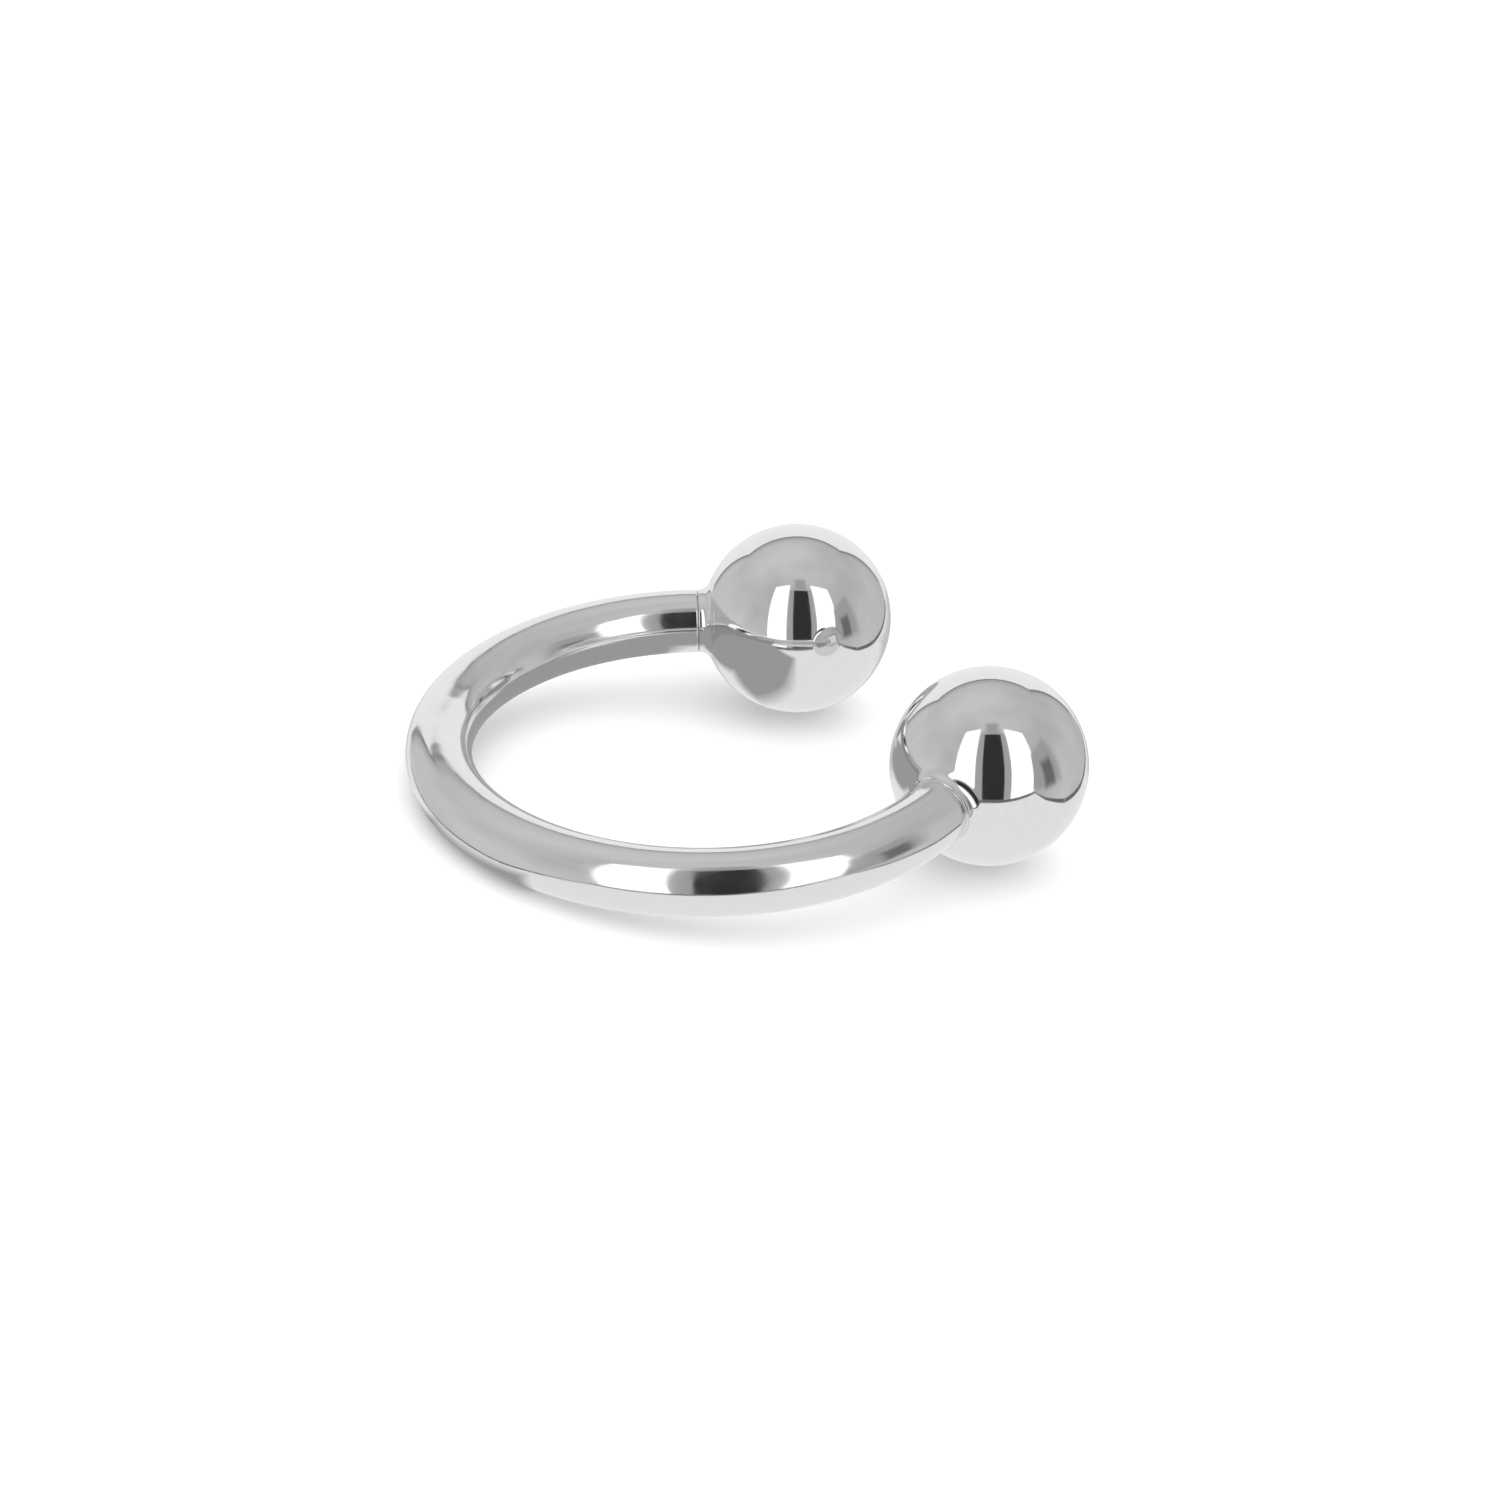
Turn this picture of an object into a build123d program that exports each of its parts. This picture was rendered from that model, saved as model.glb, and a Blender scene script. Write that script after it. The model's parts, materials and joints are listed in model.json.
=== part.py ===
from build123d import *
from math import asin, cos, degrees, radians, sin, sqrt, tan
import os

# A circular barbell: an open ring of round bar with a ball screwed into each end.
# Millimetres. The ring is drawn flat, round the Z axis, with its gap towards +X. It is then
# leaned into the pose in which it lies on a table, on its two balls and the back of the bar.

# The bar
BAR_RADIUS = 1.0
RING_RADIUS = 8.0  # to the middle of the bar, so the ring is 14 mm inside
GAP_HALF_ANGLE = 62.2  # degrees, from the middle of the gap to where the bend ends
STRAIGHT_END = 0.2  # the bending die leaves this much of each end straight
BAR_EDGE_ROUND = 0.08

# The hole in each end of the bar
HOLE_RADIUS = 0.60
HOLE_DEPTH = 2.0
HOLE_CHAMFER = 0.08
DRILL_HALF_ANGLE = 59.0  # degrees, of the drill's point

# The balls
BALL_RADIUS = 3.0
NECK_FILLET = 0.40  # the hollow curve between the ball and its neck
NECK_LAND = 0.05  # the straight part of the neck, as thick as the bar
BORE_RADIUS = 0.71
BORE_DEPTH = 2.4

# The threaded studs
PITCH = 0.25
THREAD_TURNS = 6
CREST_RADIUS = 0.58
ROOT_RADIUS = 0.45
CREST_WIDTH = PITCH / 8
RELIEF_LENGTH = 0.25
TIP_CHAMFER = 0.10
SHANK_RADIUS = 0.70
SHANK_SETBACK = 0.05  # the shank starts this far inside the ball
SHANK_LENGTH = 2.1
FLANK_ANGLE = 30.0  # degrees, of each side of a thread ridge

# How far the neck's hollow curve is from the ball's centre, measured along the stud
NECK_DISTANCE = sqrt((BALL_RADIUS + NECK_FILLET) ** 2 - (BAR_RADIUS + NECK_FILLET) ** 2)
SEAT_DISTANCE = NECK_DISTANCE + NECK_LAND

# The place of each ball's centre, in the flat ring
GAP_COS = cos(radians(GAP_HALF_ANGLE))
GAP_SIN = sin(radians(GAP_HALF_ANGLE))
BALL_X = RING_RADIUS * GAP_COS + (STRAIGHT_END + SEAT_DISTANCE) * GAP_SIN

# The balls are thicker than the bar, so the ring leans back until all three touch the table
LEAN = asin((BALL_RADIUS - BAR_RADIUS) / (BALL_X + RING_RADIUS))
RING_HEIGHT = RING_RADIUS * sin(LEAN) + BAR_RADIUS
FRONT_X = BALL_X * cos(LEAN) + BALL_RADIUS
BACK_X = -RING_RADIUS * cos(LEAN) - BAR_RADIUS
RESTING = Pos(-(FRONT_X + BACK_X) / 2, 0, RING_HEIGHT) * Rot(0, -degrees(LEAN), 0)

SIDES = {"left": 1, "right": -1}  # the side of the X axis that each ball is on


def bar_end(side):
    """The middle of the bar's end face, with its Z axis pointing out of the bar."""
    x = RING_RADIUS * GAP_COS + STRAIGHT_END * GAP_SIN
    y = RING_RADIUS * GAP_SIN - STRAIGHT_END * GAP_COS
    return Plane((x, side * y, 0), x_dir=(0, 0, 1), z_dir=(GAP_SIN, -side * GAP_COS, 0)).location


def turned(*edges):
    """The solid turned round the Z axis from a closed outline of (radius, height) edges."""
    outline = Curve() + list(edges)
    return revolve(make_face(Plane.XZ * outline), Axis.Z)


def arc_point(centre, radius, angle):
    """The point of an arc at an angle, in degrees from the radius axis."""
    return (centre[0] + radius * cos(radians(angle)), centre[1] + radius * sin(radians(angle)))


def straight_end():
    """The straight stub at an end of the bar, with its rim rounded over."""
    rim = BAR_RADIUS - BAR_EDGE_ROUND
    rim_middle = arc_point((rim, -BAR_EDGE_ROUND), BAR_EDGE_ROUND, 45)
    return turned(
        Polyline(
            (rim, 0),
            (0, 0),
            (0, -STRAIGHT_END),
            (BAR_RADIUS, -STRAIGHT_END),
            (BAR_RADIUS, -BAR_EDGE_ROUND),
        ),
        ThreePointArc((BAR_RADIUS, -BAR_EDGE_ROUND), rim_middle, (rim, 0)),
    )


def end_hole():
    """The drilled hole for a stud, with a chamfered mouth, as the shape that is cut away."""
    mouth = HOLE_RADIUS + HOLE_CHAMFER
    point_depth = HOLE_DEPTH + HOLE_RADIUS / tan(radians(DRILL_HALF_ANGLE))
    return turned(
        Polyline(
            (0, HOLE_CHAMFER),
            (mouth + HOLE_CHAMFER, HOLE_CHAMFER),
            (HOLE_RADIUS, -HOLE_CHAMFER),
            (HOLE_RADIUS, -HOLE_DEPTH),
            (0, -point_depth),
            close=True,
        )
    )


def bar():
    """The bent bar: one long arc, a short straight stub at each end, and a hole in each stub."""
    section = Plane.XZ * Pos(RING_RADIUS, 0) * Circle(BAR_RADIUS)
    bend = revolve(section, Axis.Z, revolution_arc=360 - 2 * GAP_HALF_ANGLE)
    body = Rot(0, 0, GAP_HALF_ANGLE) * bend
    for side in SIDES.values():
        body = body + bar_end(side) * straight_end()
    for side in SIDES.values():
        body = body - bar_end(side) * end_hole()
    return body


def ball():
    """A ball that narrows to a short neck, with its seat at height 0 and a blind bore."""
    centre = (0, SEAT_DISTANCE)
    fillet_centre = (BAR_RADIUS + NECK_FILLET, NECK_LAND)
    # the hollow curve meets the ball on the line between their two centres
    share = BALL_RADIUS / (BALL_RADIUS + NECK_FILLET)
    join_radius = fillet_centre[0] * share
    join = (join_radius, SEAT_DISTANCE - NECK_DISTANCE * share)
    hollow_angle = degrees(asin((join[1] - NECK_LAND) / NECK_FILLET))
    hollow_middle = arc_point(fillet_centre, NECK_FILLET, 180 - hollow_angle / 2)
    bore_point = BORE_DEPTH + BORE_RADIUS / tan(radians(DRILL_HALF_ANGLE))
    top = (0, SEAT_DISTANCE + BALL_RADIUS)
    return turned(
        ThreePointArc(top, (BALL_RADIUS, centre[1]), join),
        ThreePointArc(join, hollow_middle, (BAR_RADIUS, NECK_LAND)),
        Polyline(
            (BAR_RADIUS, NECK_LAND),
            (BAR_RADIUS, 0),
            (BORE_RADIUS, 0),
            (BORE_RADIUS, BORE_DEPTH),
            (0, bore_point),
            top,
        ),
    )


def stud():
    """A stud: a shank in the ball above height 0, and thread ridges in the bar below it."""
    ridge_foot = CREST_WIDTH / 2 + (CREST_RADIUS - ROOT_RADIUS) * tan(radians(FLANK_ANGLE))
    tip = -(RELIEF_LENGTH + THREAD_TURNS * PITCH + TIP_CHAMFER)
    outline = [(0, tip), (ROOT_RADIUS, tip)]
    for turn in range(THREAD_TURNS):
        middle = tip + TIP_CHAMFER + (turn + 0.5) * PITCH
        outline.append((ROOT_RADIUS, middle - ridge_foot))
        outline.append((CREST_RADIUS, middle - CREST_WIDTH / 2))
        outline.append((CREST_RADIUS, middle + CREST_WIDTH / 2))
        outline.append((ROOT_RADIUS, middle + ridge_foot))
    outline.append((ROOT_RADIUS, SHANK_SETBACK))
    outline.append((SHANK_RADIUS, SHANK_SETBACK))
    outline.append((SHANK_RADIUS, SHANK_SETBACK + SHANK_LENGTH))
    outline.append((0, SHANK_SETBACK + SHANK_LENGTH))
    return turned(Polyline(*outline, close=True))


def save(name, solid):
    """Lean a piece into the resting pose and write it."""
    export_step(RESTING * solid, f"parts/{name}.step")


os.makedirs("parts", exist_ok=True)
save("bar", bar())
for name, side in SIDES.items():
    save(f"{name}_ball", bar_end(side) * ball())
    save(f"{name}_stud", bar_end(side) * stud())
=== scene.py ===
import json
import math

import bpy
from mathutils import Matrix, Vector


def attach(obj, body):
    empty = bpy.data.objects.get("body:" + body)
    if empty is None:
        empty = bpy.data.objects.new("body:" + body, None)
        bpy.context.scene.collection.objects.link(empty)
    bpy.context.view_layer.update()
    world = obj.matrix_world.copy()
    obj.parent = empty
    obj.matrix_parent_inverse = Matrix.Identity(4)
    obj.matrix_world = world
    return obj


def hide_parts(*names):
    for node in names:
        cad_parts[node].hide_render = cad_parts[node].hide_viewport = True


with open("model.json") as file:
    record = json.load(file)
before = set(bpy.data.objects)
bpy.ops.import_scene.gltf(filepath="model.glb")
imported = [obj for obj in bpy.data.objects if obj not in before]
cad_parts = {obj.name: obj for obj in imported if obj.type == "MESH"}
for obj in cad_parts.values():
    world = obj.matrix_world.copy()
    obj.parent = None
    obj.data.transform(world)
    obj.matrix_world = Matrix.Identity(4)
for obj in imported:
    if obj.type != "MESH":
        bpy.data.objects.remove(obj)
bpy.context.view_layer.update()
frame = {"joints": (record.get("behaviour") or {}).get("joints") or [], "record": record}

MM = 0.001

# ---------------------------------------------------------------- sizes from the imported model

joints = {j["name"]: j for j in frame["joints"]}
couplings = {c["joint"]: c for c in frame["record"]["behaviour"]["couplings"]}
mounts = {m["name"]: m for m in frame["record"]["mounts"]}

SIDES = {"left": 1, "right": -1}
AXIS = {s: Vector(joints[s + "_ball_turn"]["axis"]).normalized() for s in SIDES}
BALL = {s: Vector(joints[s + "_ball_turn"]["pos_m"]) for s in SIDES}
PITCH = 2 * math.pi / abs(couplings["left_ball_turn"]["ratio"])
BAR_RADIUS = mounts["wearing_section"]["dims"]["r_mm"] * MM
BALL_RADIUS = BALL["left"].z  # a ball stands on the table

# The ring's own directions: FORWARD to the gap, LEFT, and UP square to the ring
FORWARD = (AXIS["left"] + AXIS["right"]).normalized()
UP = AXIS["left"].cross(AXIS["right"]).normalized()
LEFT = UP.cross(FORWARD)

# The ring's radius follows from the thread axis, the ball's centre and the back of the bar
BACK = Vector(mounts["wearing_section"]["pos_m"])
GAP_SIN = AXIS["left"].dot(FORWARD)
GAP_COS = -AXIS["left"].dot(LEFT)
GAP_HALF_ANGLE = math.atan2(GAP_SIN, GAP_COS)
ball_forward = (BALL["left"] - BACK).dot(FORWARD)
ball_left = (BALL["left"] - BACK).dot(LEFT)
RING_RADIUS = (ball_forward * GAP_COS + ball_left * GAP_SIN) / (1 + GAP_COS)
CENTRE = BACK + FORWARD * RING_RADIUS

# ---------------------------------------------------------------- sizes that only the looks need

NECK_FILLET = 0.40 * MM
NECK_LAND = 0.05 * MM
NECK_ROUND = 0.03 * MM
BORE_RADIUS = 0.71 * MM
BORE_DEPTH = 2.4 * MM
BAR_EDGE_ROUND = 0.08 * MM
HOLE_DEPTH = 2.0 * MM
HOLE_CHAMFER = 0.08 * MM
DRILL_SLOPE = math.tan(math.radians(59))
CREST_RADIUS = 0.58 * MM
ROOT_RADIUS = 0.445 * MM
THREAD_CLEARANCE = 0.02 * MM
TAP_RADIUS = 0.465 * MM
FLANK_SLOPE = math.tan(math.radians(30))
THREAD_TURNS = 6
RELIEF = 0.25 * MM
TIP = 0.10 * MM
SHANK_RADIUS = 0.70 * MM
SHANK_SETBACK = 0.05 * MM
SHANK_LENGTH = 2.1 * MM

NECK_DISTANCE = math.sqrt((BALL_RADIUS + NECK_FILLET) ** 2 - (BAR_RADIUS + NECK_FILLET) ** 2)
SEAT_DISTANCE = NECK_DISTANCE + NECK_LAND
THREAD_STEPS = 20  # rings of mesh to each pitch of thread


def axes_at(x, y, z, at):
    """The placing with these X, Y and Z directions at a point."""
    return Matrix([(x[i], y[i], z[i], at[i]) for i in range(3)] + [(0, 0, 0, 1)])


def seat(side):
    """The middle of the bar's end face: X square to the ring, Z pointing out of the bar."""
    z = AXIS[side]
    y = z.cross(UP)
    at = BALL[side] - z * SEAT_DISTANCE
    return axes_at(UP, y, z, at)


# ---------------------------------------------------------------- mesh making

def arc(centre, radius, start, end, steps):
    """Points of an arc between two angles in degrees."""
    angles = [math.radians(start + (end - start) * i / steps) for i in range(steps + 1)]
    return [(centre[0] + radius * math.cos(a), centre[1] + radius * math.sin(a)) for a in angles]


def thread_radius(height, angle, extra=0.0):
    """Radius of the stud's thread at a height along its axis and an angle round it."""
    offset = abs((height / PITCH - angle / (2 * math.pi) + 0.5) % 1 - 0.5) * PITCH
    return min(CREST_RADIUS, CREST_RADIUS - (offset - PITCH / 16) / FLANK_SLOPE) + extra


def grain(rings):
    """For each point, how far along the piece it is and where it is across it, for the polish marks."""
    travelled, values = 0.0, []
    for i, ring in enumerate(rings):
        if i:
            travelled += (ring[0] - rings[i - 1][0]).length
        radius = (ring[0] - ring[len(ring) // 2]).length / 2
        for j in range(len(ring)):
            angle = 2 * math.pi * j / len(ring)
            values += (travelled, radius * math.cos(angle), radius * math.sin(angle))
    return values + [0.0, 0.0, 0.0, travelled, 0.0, 0.0]


def skin(name, rings, tips, smooth_angle=35):
    """A closed mesh from equal rings of points, with a single point closing each end."""
    count = len(rings[0])
    points = [p for ring in rings for p in ring] + list(tips)
    first_tip = len(points) - 2
    faces = []
    for i in range(len(rings) - 1):
        for j in range(count):
            k = (j + 1) % count
            faces.append((i * count + j, i * count + k, (i + 1) * count + k, (i + 1) * count + j))
    last = (len(rings) - 1) * count
    for j in range(count):
        k = (j + 1) % count
        faces.append((first_tip, k, j))
        faces.append((first_tip + 1, last + j, last + k))
    mesh = bpy.data.meshes.new(name)
    mesh.from_pydata(points, [], faces)
    mesh.polygons.foreach_set("use_smooth", [True] * len(mesh.polygons))
    mesh.set_sharp_from_angle(angle=math.radians(smooth_angle))
    mesh.attributes.new("grain", "FLOAT_VECTOR", "POINT").data.foreach_set("vector", grain(rings))
    mesh.update()
    piece = bpy.data.objects.new(name, mesh)
    bpy.context.scene.collection.objects.link(piece)
    return piece


def turned(name, profile, segments, where, smooth_angle=35):
    """A turned piece from (radius, height) points, the first and last of them on the axis."""
    rings = []
    for entry in profile[1:-1]:
        radius, height = entry
        ring = []
        for j in range(segments):
            angle = 2 * math.pi * j / segments
            r = radius(angle) if callable(radius) else radius
            ring.append(where @ Vector((r * math.cos(angle), r * math.sin(angle), height)))
        rings.append(ring)
    tips = (where @ Vector((0, 0, profile[0][1])), where @ Vector((0, 0, profile[-1][1])))
    return skin(name, rings, tips, smooth_angle)


# ---------------------------------------------------------------- the pieces

def bore_rings():
    """(radius or function of angle, depth) rings of a tapped hole, from its mouth to its drill point."""
    mouth = TAP_RADIUS + THREAD_CLEARANCE + CREST_RADIUS - ROOT_RADIUS + HOLE_CHAMFER / 2
    steps = round((HOLE_DEPTH - RELIEF) / PITCH * THREAD_STEPS)
    rings = [(mouth, 0.0)]
    for i in range(1, steps + 1):
        depth = i * PITCH / THREAD_STEPS

        def radius(angle, depth=depth):
            cut = max(TAP_RADIUS, thread_radius(-depth, angle, THREAD_CLEARANCE))
            return max(cut, mouth - depth)

        rings.append((radius, depth))
    rings.append((TAP_RADIUS, HOLE_DEPTH))
    return rings


def make_bar():
    """The bent bar with rounded rims and a tapped hole in each end."""
    segments, bend_steps = 96, 420
    rim = arc((BAR_RADIUS - BAR_EDGE_ROUND, -BAR_EDGE_ROUND), BAR_EDGE_ROUND, 90, 0, 8)
    bore = bore_rings()

    def end_rings(side, turn):
        where = seat(side)
        rings = []
        for radius, height in [(radius, -depth) for radius, depth in reversed(bore)] + rim:
            ring = []
            for j in range(segments):
                angle = 2 * math.pi * j / segments * turn
                r = radius(angle % (2 * math.pi)) if callable(radius) else radius
                ring.append(where @ Vector((r * math.cos(angle), r * math.sin(angle), height)))
            rings.append(ring)
        drill_point = where @ Vector((0, 0, -HOLE_DEPTH - TAP_RADIUS / DRILL_SLOPE))
        return rings, drill_point

    left, left_tip = end_rings("left", 1)
    right, right_tip = end_rings("right", -1)
    middle = []
    for i in range(bend_steps + 1):
        turn = GAP_HALF_ANGLE + (2 * math.pi - 2 * GAP_HALF_ANGLE) * i / bend_steps
        out = FORWARD * math.cos(turn) + LEFT * math.sin(turn)
        # the same directions as at the left end: X is UP, Y is the thread axis crossed with UP
        side_way = (FORWARD * math.sin(turn) - LEFT * math.cos(turn)).cross(UP)
        ring = []
        for j in range(segments):
            angle = 2 * math.pi * j / segments
            spoke = UP * math.cos(angle) + side_way * math.sin(angle)
            ring.append(CENTRE + out * RING_RADIUS + spoke * BAR_RADIUS)
        middle.append(ring)
    # from right to left, so that the faces look outwards
    rings = right + list(reversed(middle)) + list(reversed(left))
    return skin("ring_bar", rings, (right_tip, left_tip))


def make_ball(side):
    """A ball that narrows through a hollow curve to its neck, with the blind bore for its stud."""
    fillet = (BAR_RADIUS + NECK_FILLET, NECK_LAND)
    share = BALL_RADIUS / (BALL_RADIUS + NECK_FILLET)
    hollow = math.degrees(math.asin(NECK_DISTANCE * (1 - share) / NECK_FILLET))
    join_angle = math.degrees(math.asin(-NECK_DISTANCE * share / BALL_RADIUS))
    profile = [(0, BORE_DEPTH + BORE_RADIUS / DRILL_SLOPE), (BORE_RADIUS, BORE_DEPTH)]
    profile += [(BORE_RADIUS, BORE_DEPTH * i / 8) for i in range(7, -1, -1)]
    profile += arc((BAR_RADIUS - NECK_ROUND, NECK_ROUND), NECK_ROUND, -90, 0, 5)
    profile += arc(fillet, NECK_FILLET, 180, 180 - hollow, 14)
    profile += arc((0, SEAT_DISTANCE), BALL_RADIUS, join_angle, 90, 110)[1:-1]
    profile.append((0, SEAT_DISTANCE + BALL_RADIUS))
    return turned(side + "_ball_shell", profile, 192, seat(side))


def make_stud(side):
    """A stud with a real helical thread, a plain relief and a shank inside the ball."""
    low = -(RELIEF + THREAD_TURNS * PITCH + TIP)
    steps = THREAD_TURNS * THREAD_STEPS
    profile = [(0, low), (ROOT_RADIUS - TIP / 2, low)]
    start = low + TIP / 2
    for i in range(steps + THREAD_STEPS // 4):
        height = start + i * PITCH / THREAD_STEPS
        lead_in = ROOT_RADIUS - TIP / 2 + (height - low)
        lead_out = CREST_RADIUS - max(0.0, height + RELIEF) * 2

        def radius(angle, height=height, limit=min(lead_in, lead_out)):
            return max(ROOT_RADIUS - TIP / 4, min(thread_radius(height, angle), limit))

        profile.append((radius, height))
    profile += [(ROOT_RADIUS - TIP / 4, -RELIEF / 2), (ROOT_RADIUS - TIP / 4, SHANK_SETBACK)]
    profile += [(SHANK_RADIUS, SHANK_SETBACK), (SHANK_RADIUS, SHANK_SETBACK + SHANK_LENGTH)]
    profile.append((0, SHANK_SETBACK + SHANK_LENGTH))
    return turned(side + "_stud_thread", profile, 56, seat(side))


# ---------------------------------------------------------------- materials

def steel(name, colour, roughness, wave, scratch, stretch):
    """Polished steel: a slow waviness, fine polish marks drawn out one way, and uneven gloss."""
    material = bpy.data.materials.new(name)
    material.use_nodes = True
    tree = material.node_tree
    shader = tree.nodes["Principled BSDF"]
    shader.inputs["Metallic"].default_value = 1.0
    place = tree.nodes.new("ShaderNodeAttribute")
    place.attribute_name = "grain"
    drawn_out = tree.nodes.new("ShaderNodeMapping")
    drawn_out.inputs["Scale"].default_value = stretch
    tree.links.new(place.outputs["Vector"], drawn_out.inputs["Vector"])

    def noise(size, detail, vector):
        texture = tree.nodes.new("ShaderNodeTexNoise")
        texture.inputs["Scale"].default_value = 1 / size
        texture.inputs["Detail"].default_value = detail
        tree.links.new(vector, texture.inputs["Vector"])
        return texture.outputs["Fac"]

    def bump(height, distance, normal=None):
        node = tree.nodes.new("ShaderNodeBump")
        node.inputs["Distance"].default_value = distance
        tree.links.new(height, node.inputs["Height"])
        if normal:
            tree.links.new(normal, node.inputs["Normal"])
        return node.outputs["Normal"]

    patches = noise(0.7 * MM, 4, place.outputs["Vector"])
    marks = noise(0.09 * MM, 3, drawn_out.outputs["Vector"])
    waves = noise(1.7 * MM, 1, place.outputs["Vector"])

    gloss = tree.nodes.new("ShaderNodeMapRange")
    gloss.inputs["From Min"].default_value = 0.35
    gloss.inputs["From Max"].default_value = 0.65
    gloss.inputs["To Min"].default_value = roughness * 0.7
    gloss.inputs["To Max"].default_value = roughness * 1.5
    tree.links.new(patches, gloss.inputs["Value"])
    tree.links.new(gloss.outputs["Result"], shader.inputs["Roughness"])

    tint = tree.nodes.new("ShaderNodeMix")
    tint.data_type = "RGBA"
    tint.inputs["A"].default_value = (*(c * 0.94 for c in colour), 1)
    tint.inputs["B"].default_value = (*colour, 1)
    tree.links.new(marks, tint.inputs["Factor"])
    tree.links.new(tint.outputs["Result"], shader.inputs["Base Color"])

    surface = bump(marks, scratch, bump(waves, wave))
    tree.links.new(surface, shader.inputs["Normal"])
    return material


# ---------------------------------------------------------------- the studio

# The studio stands square to the camera. Its directions are to the right, away and up, from
# the ring's centre, in millimetres.
CAMERA_ROUND = math.radians(31.07)  # from straight behind the ring's right side
CAMERA_UP = math.radians(29.64)  # above the ring's own plane
CAMERA_DISTANCE = 17.35 * RING_RADIUS
RIGHT_WAY = FORWARD * math.cos(CAMERA_ROUND) - LEFT * math.sin(CAMERA_ROUND)
AWAY = FORWARD * math.sin(CAMERA_ROUND) + LEFT * math.cos(CAMERA_ROUND)


def studio(x, y, z):
    return CENTRE + (RIGHT_WAY * x + AWAY * y + UP * z) * MM


def glow(name, level):
    """A surface that gives off light, fading to clear where its "solid" value falls to nothing."""
    material = bpy.data.materials.new(name)
    material.use_nodes = True
    tree = material.node_tree
    tree.nodes.clear()
    emission = tree.nodes.new("ShaderNodeEmission")
    emission.inputs["Color"].default_value = (level, level, level, 1)
    clear = tree.nodes.new("ShaderNodeBsdfTransparent")
    solid = tree.nodes.new("ShaderNodeAttribute")
    solid.attribute_name = "solid"
    mix = tree.nodes.new("ShaderNodeMixShader")
    output = tree.nodes.new("ShaderNodeOutputMaterial")
    tree.links.new(solid.outputs["Fac"], mix.inputs["Fac"])
    tree.links.new(clear.outputs[0], mix.inputs[1])
    tree.links.new(emission.outputs[0], mix.inputs[2])
    tree.links.new(mix.outputs[0], output.inputs["Surface"])
    return material


def reflector(name, corners, level, fade=1.0):
    """A card that is seen only in the polished steel, with an edge that fades out over a width."""
    outer = [studio(*c) for c in corners]
    middle = sum(outer, Vector()) / len(outer)
    inner = [p + (middle - p).normalized() * fade * MM for p in outer]
    count = len(outer)
    faces = [tuple(range(count, 2 * count))]
    faces += [(i, (i + 1) % count, count + (i + 1) % count, count + i) for i in range(count)]
    mesh = bpy.data.meshes.new(name)
    mesh.from_pydata(outer + inner, [], faces)
    mesh.attributes.new("solid", "FLOAT", "POINT").data.foreach_set("value", [0.0] * count + [1.0] * count)
    mesh.materials.append(glow(name, level))
    card = bpy.data.objects.new(name, mesh)
    only_reflected(card)
    return card


def only_reflected(card):
    bpy.context.scene.collection.objects.link(card)
    card.visible_camera = False
    card.visible_diffuse = False
    card.visible_shadow = False


# Brightness of each surface of the studio, before the steel takes its share
TENT_LEVEL = 0.64
WHITE_LEVEL = 1.5
BACKDROP_LEVEL = 0.97
BACKDROP_RIM_LEVEL = 0.26
BACKDROP_FRAME_LEVEL = 0.48
TENT_FLOOR_LEVEL = 0.91
# the painted shade on the floor behind the object, seen only in the steel
FAR_FLOOR_SHADE_LEVEL = 0.62
STRIP_LEVEL = 0.42
FRAME_LEVEL = 0.40
# the painted shadow on the table inside the ring, seen only in the steel
RING_SHADOW_LEVEL = 0.38
OPENING_LEVEL = 0.17
EDGE_LEVEL = 0.16
DARK_LEVEL = 0.035

# The front cards stand between the camera and the object, and lean in as they rise
CARD_DISTANCE = 67
CARD_LEAN = 0.27
CARD_BOTTOM = -12
TENT_FLOOR = -15.5
BACKDROP_DISTANCE = 90


def upright_card(name, edge, bottom, top, level, fade):
    """An upright card on the line between two (x, y) points."""
    foot = [(*point, bottom) for point in edge]
    head = [(*point, top) for point in reversed(edge)]
    reflector(name, foot + head, level, fade)


def front_card(name, left, right, bottom, top, level, behind=0.0, fade=1.5):
    """An upright card in front of the object, leaning in towards it."""
    foot_y, head_y = (CARD_LEAN * z - CARD_DISTANCE - behind for z in (bottom, top))
    foot = [(left, foot_y, bottom), (right, foot_y, bottom)]
    head = [(right, head_y, top), (left, head_y, top)]
    reflector(name, foot + head, level, fade)


def back_card(name, left, right, top, level, behind, fade):
    """An upright card behind the object, standing on the tent's floor."""
    edge = [(x, BACKDROP_DISTANCE + behind) for x in (left, right)]
    upright_card(name, edge, TENT_FLOOR, top, level, fade)


def make_tent():
    """The round grey tent, not quite even."""
    bpy.ops.mesh.primitive_uv_sphere_add(segments=64, ring_count=32, radius=1.2, location=CENTRE)
    tent = bpy.context.object
    tent.name = "tent"
    bpy.context.scene.collection.objects.unlink(tent)
    count = len(tent.data.vertices)
    tent.data.attributes.new("solid", "FLOAT", "POINT").data.foreach_set("value", [1.0] * count)
    material = glow("tent", TENT_LEVEL)
    tent.data.materials.append(material)
    tree = material.node_tree
    folds = tree.nodes.new("ShaderNodeTexNoise")
    folds.inputs["Scale"].default_value = 1.8
    levels = tree.nodes.new("ShaderNodeMapRange")
    levels.inputs["From Min"].default_value = 0.35
    levels.inputs["From Max"].default_value = 0.65
    levels.inputs["To Min"].default_value = TENT_LEVEL * 0.82
    levels.inputs["To Max"].default_value = TENT_LEVEL * 1.06
    place = tree.nodes.new("ShaderNodeTexCoord")
    tree.links.new(place.outputs["Generated"], folds.inputs["Vector"])
    tree.links.new(folds.outputs["Fac"], levels.inputs["Value"])
    tree.links.new(levels.outputs["Result"], tree.nodes["Emission"].inputs["Strength"])
    tree.nodes["Emission"].inputs["Color"].default_value = (1, 1, 1, 1)
    only_reflected(tent)


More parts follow.
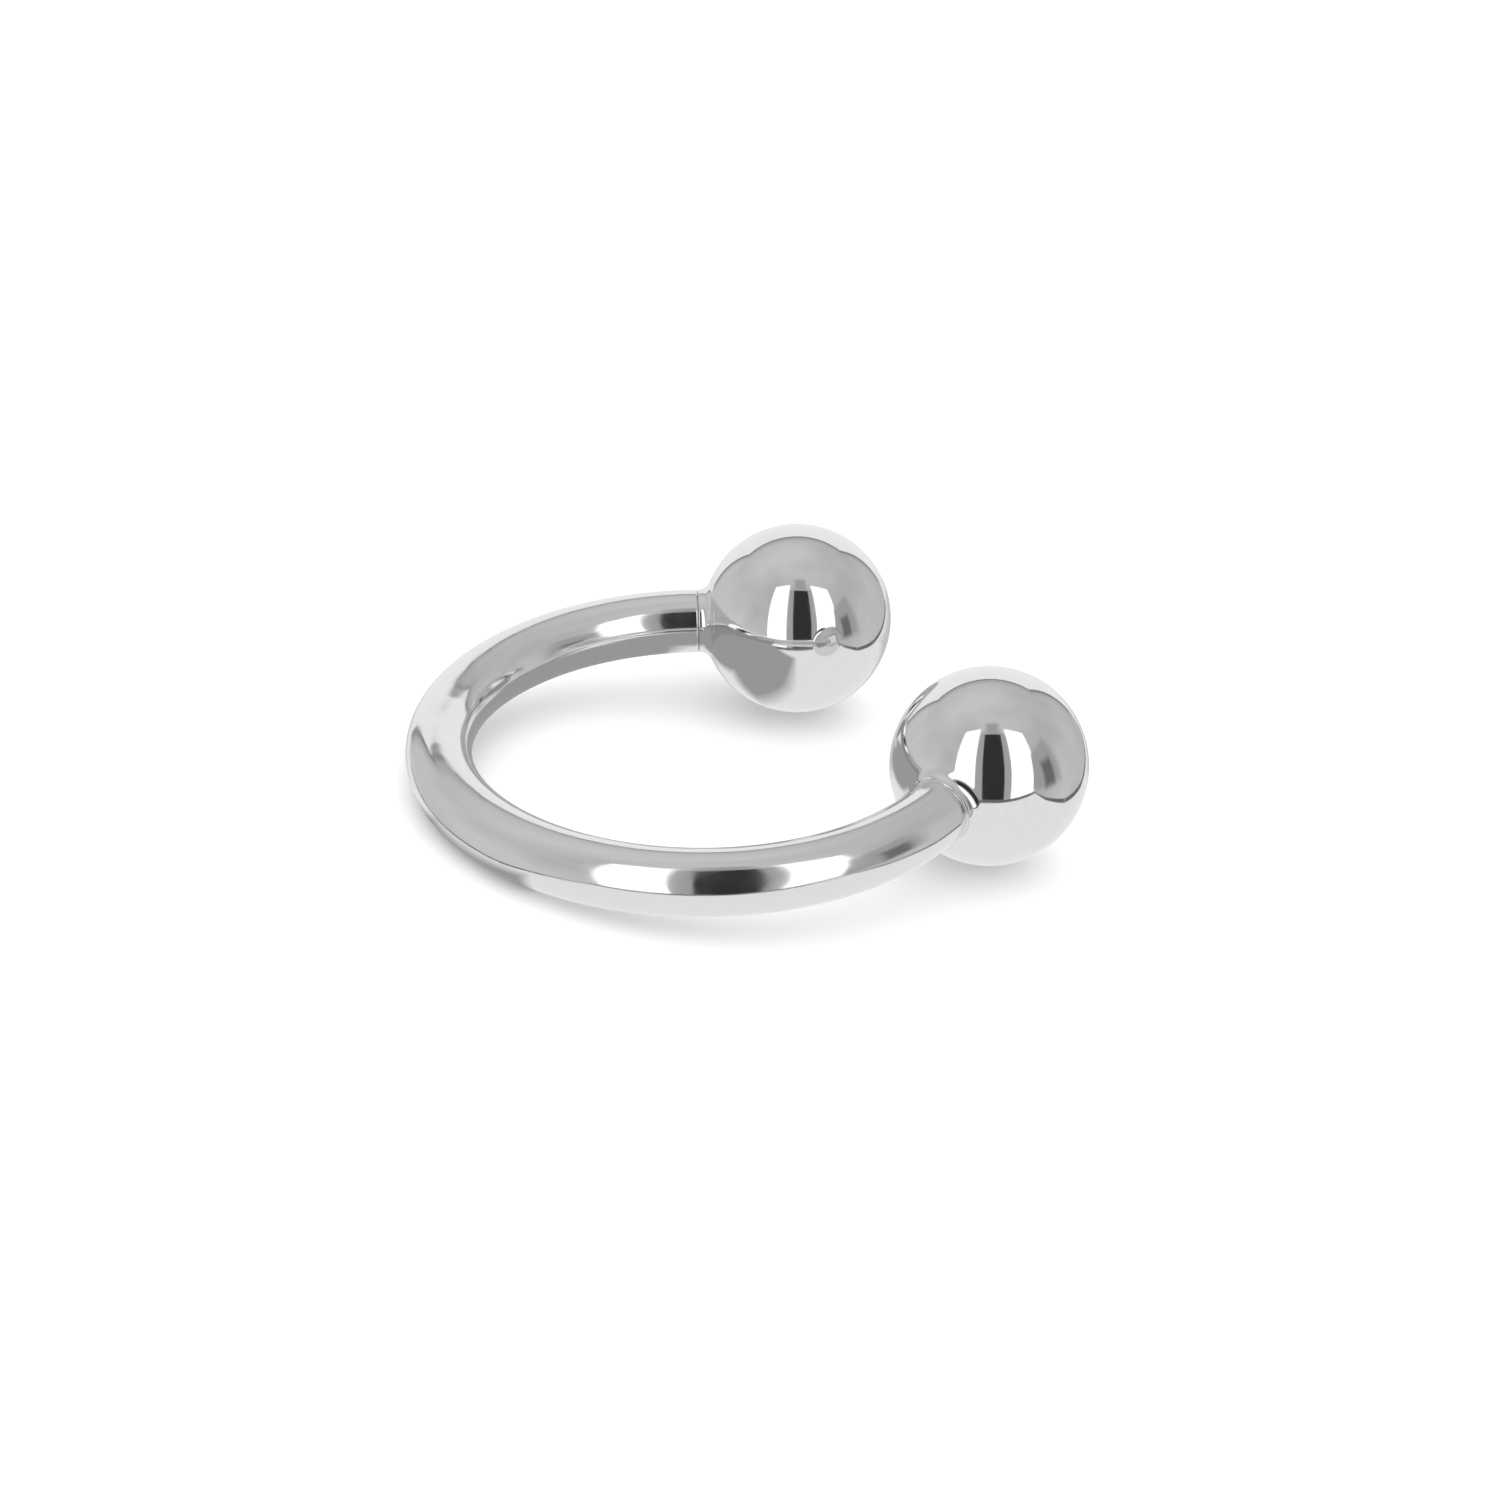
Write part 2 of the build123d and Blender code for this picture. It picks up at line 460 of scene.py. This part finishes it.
def make_studio():
    make_tent()
    # the two soft lights and the camera's slot between them
    front_card("soft_light_left", -49.5, -13, CARD_BOTTOM, 113, WHITE_LEVEL)
    front_card("soft_light_right", 34.5, 84.5, CARD_BOTTOM, 113, WHITE_LEVEL)
    front_card("slot_surround", -14, 36, CARD_BOTTOM, 97, STRIP_LEVEL, behind=0.5, fade=3)
    front_card("camera_slot", -3.5, 25, CARD_BOTTOM, 92, DARK_LEVEL, behind=-0.1)
    front_card("slot_top", -8, 30, 78, 150, FRAME_LEVEL, behind=0.2, fade=24)
    # a panel on the right, with a darker opening in it
    upright_card("side_panel", [(78, -74), (83, -6)], -15, 58, FRAME_LEVEL, 14)
    upright_card("side_opening", [(51, -27), (56, -13)], -9, 20, OPENING_LEVEL, 7.5)
    # the backdrop, in a darker frame
    back_card("backdrop", -63, 61, 57, BACKDROP_LEVEL, 0, 1.5)
    back_card("backdrop_rim", -72, 70, 65, BACKDROP_RIM_LEVEL, 1, 6)
    back_card("backdrop_frame", -86, 84, 80, BACKDROP_FRAME_LEVEL, 2, 17)
    # the tent's floor, with a dark line round it
    right_edge = [(84, -69), (48, -23), (36, -1), (34, 15), (39, 50), (61, BACKDROP_DISTANCE)]
    left_edge = [(-63, BACKDROP_DISTANCE), (-45, 42), (-33, 14), (-29, -8), (-40, -30), (-56, -69)]
    reflector("tent_floor", [(x, y, TENT_FLOOR) for x, y in right_edge + left_edge], TENT_FLOOR_LEVEL)
    # painted shade: the floor is darker behind the object, which draws its outline in the steel
    far_floor_shade = [(-26, 20), (32, 20), (36, 52), (-34, 52)]
    reflector("far_floor_shade", [(x, y, TENT_FLOOR + 0.5) for x, y in far_floor_shade], FAR_FLOOR_SHADE_LEVEL, 12)
    rims = {
        "front": ([left_edge[-1], right_edge[0]], 4.4),
        "right": (right_edge[:-1], 2.2),
        "left": (left_edge[1:], 2.2),
    }
    for name, (edge, height) in rims.items():
        for i in range(len(edge) - 1):
            rim_name = f"floor_rim_{name}_{i}"
            upright_card(rim_name, edge[i:i + 2], TENT_FLOOR, TENT_FLOOR + height, EDGE_LEVEL, 0.4)
    # a grey card on the table inside the ring, a painted shadow seen only in the steel
    outline = [(-9, 10.5), (-1, 10.5), (0, 7.2), (2.2, 7.2), (3.2, 5), (3.2, -1), (-6, -8), (-9, -4)]
    ring_shadow = reflector("ring_shadow_card", [(x, y, 0) for x, y in outline], RING_SHADOW_LEVEL)
    for point in ring_shadow.data.vertices:
        point.co.z = 0.05 * MM


def make_floor():
    """The plain pale floor that the object stands on."""
    half = 1.5
    mesh = bpy.data.meshes.new("floor")
    corners = [(-half, -half, 0), (half, -half, 0), (half, half, 0), (-half, half, 0)]
    mesh.from_pydata(corners, [], [(0, 1, 2, 3)])
    material = bpy.data.materials.new("floor")
    material.use_nodes = True
    shader = material.node_tree.nodes["Principled BSDF"]
    shader.inputs["Base Color"].default_value = (0.93, 0.93, 0.93, 1)
    shader.inputs["Roughness"].default_value = 0.9
    shader.inputs["Specular IOR Level"].default_value = 0.0
    mesh.materials.append(material)
    floor = bpy.data.objects.new("floor", mesh)
    bpy.context.scene.collection.objects.link(floor)
    floor.visible_glossy = False


def make_world():
    world = bpy.data.worlds.new("room")
    bpy.context.scene.world = world
    world.use_nodes = True
    background = world.node_tree.nodes["Background"]
    background.inputs["Color"].default_value = (1, 1, 1, 1)
    background.inputs["Strength"].default_value = 1.5
    bpy.context.scene.view_settings.view_transform = "Standard"


def make_camera():
    """The camera looks at the ring from behind its right side."""
    back = (-AWAY * math.cos(CAMERA_UP) + UP * math.sin(CAMERA_UP)).normalized()
    across = RIGHT_WAY
    over = back.cross(across)
    data = bpy.data.cameras.new("camera")
    data.sensor_width = 36
    # one ring radius takes this share of the picture's width
    data.lens = data.sensor_width * 0.176333 * CAMERA_DISTANCE / RING_RADIUS
    data.clip_start = 0.005
    camera = bpy.data.objects.new("camera", data)
    bpy.context.scene.collection.objects.link(camera)
    # the ring's centre stands a little left of the picture's middle and above it
    aim = CENTRE + across * 0.1754 * RING_RADIUS - over * 0.0189 * RING_RADIUS
    at = aim + back * CAMERA_DISTANCE
    camera.matrix_world = axes_at(across, over, back, at)
    bpy.context.scene.camera = camera


# ---------------------------------------------------------------- putting it together

make_camera()
make_world()
make_floor()
make_studio()

ALONG, ROUND = (0.1, 1.0, 1.0), (1.0, 0.15, 0.15)
bar_steel = steel("polished_bar_steel", (0.82, 0.82, 0.83), 0.10, 18e-6, 0.35e-6, ALONG)
ball_steel = steel("polished_ball_steel", (0.82, 0.82, 0.83), 0.05, 6e-6, 0.15e-6, ROUND)
stud_steel = steel("machined_stud_steel", (0.68, 0.68, 0.69), 0.16, 1e-6, 0.6e-6, ROUND)


def finish(piece, material, body, node):
    piece.data.materials.append(material)
    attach(piece, body)
    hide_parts(node)


finish(make_bar(), bar_steel, "bar", "bar")
for side in SIDES:
    # a stud is fixed in its ball, so what is seen of it turns and moves out with the ball
    finish(make_ball(side), ball_steel, side + "_ball", side + "_ball")
    finish(make_stud(side), stud_steel, side + "_ball", side + "_stud")
